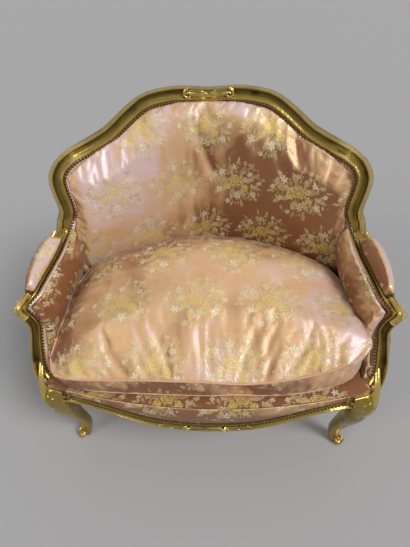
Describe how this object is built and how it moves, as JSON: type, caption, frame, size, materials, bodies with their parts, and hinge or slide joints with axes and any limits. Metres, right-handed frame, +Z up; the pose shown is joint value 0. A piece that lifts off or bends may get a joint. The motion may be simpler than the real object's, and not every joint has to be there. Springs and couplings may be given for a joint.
{
  "type": "upholstered marquise armchair",
  "caption": "Wide low armchair with a moulded and carved wooden frame, a bowed upholstered back running into closed padded arms, cabriole front legs and one loose seat cushion.",
  "frame": {"origin": "on the floor, under the middle of the chair", "axes": "+X to the chair's right-hand side as seen from the front, -Y out of the front, +Z up"},
  "size_m": [1.029, 0.7314, 0.9504],
  "materials": {
    "gilt_wood": "antique gilding over carved beech, rubbed on the beads and dark in the hollows",
    "plain_wood": "plain planed beech",
    "webbing": "coarse jute",
    "spring_steel": "dull drawn wire",
    "lining_cloth": "plain unbleached cotton",
    "padding": "cotton bag over soft filling",
    "brocade": "satin brocade, copper pink with a woven floral pattern",
    "piping_cloth": "satin covered cord"
  },
  "bodies": {
    "chair": {"crest_rail": "gilt_wood", "rear_post_right": "gilt_wood", "rear_post_left": "gilt_wood", "arm_rail_right": "gilt_wood", "arm_rail_left": "gilt_wood", "arm_support_right": "gilt_wood", "arm_support_left": "gilt_wood", "front_leg_right": "gilt_wood", "front_leg_left": "gilt_wood", "front_seat_rail": "gilt_wood", "side_seat_rail_right": "gilt_wood", "side_seat_rail_left": "gilt_wood", "back_seat_rail": "gilt_wood", "back_tacking_rail": "plain_wood", "arm_tacking_rail_right": "plain_wood", "arm_tacking_rail_left": "plain_wood", "corner_blocks": "plain_wood", "frame_dowels": "plain_wood", "seat_battens": "plain_wood", "seat_webbing": "webbing", "back_webbing": "webbing", "seat_springs": "spring_steel", "seat_hessian": "webbing", "dust_cover": "lining_cloth", "seat_deck_pad": "padding", "seat_deck_cover": "lining_cloth", "front_border": "brocade", "inside_back_pad": "brocade", "outside_back_cover": "brocade", "inside_arm_pad_right": "brocade", "inside_arm_pad_left": "brocade", "outside_arm_cover_right": "brocade", "outside_arm_cover_left": "brocade", "manchette_right": "brocade", "manchette_left": "brocade"},
    "seat_cushion": {"cushion_cover": "brocade", "cushion_filling": "padding", "cushion_piping": "piping_cloth"}
  },
  "joints": [
    {"name": "seat_cushion_lift_out", "type": "slide", "parent": "chair", "child": "seat_cushion", "axis": [0, -1, 0], "range_m": [0, 0.6]}
  ]
}
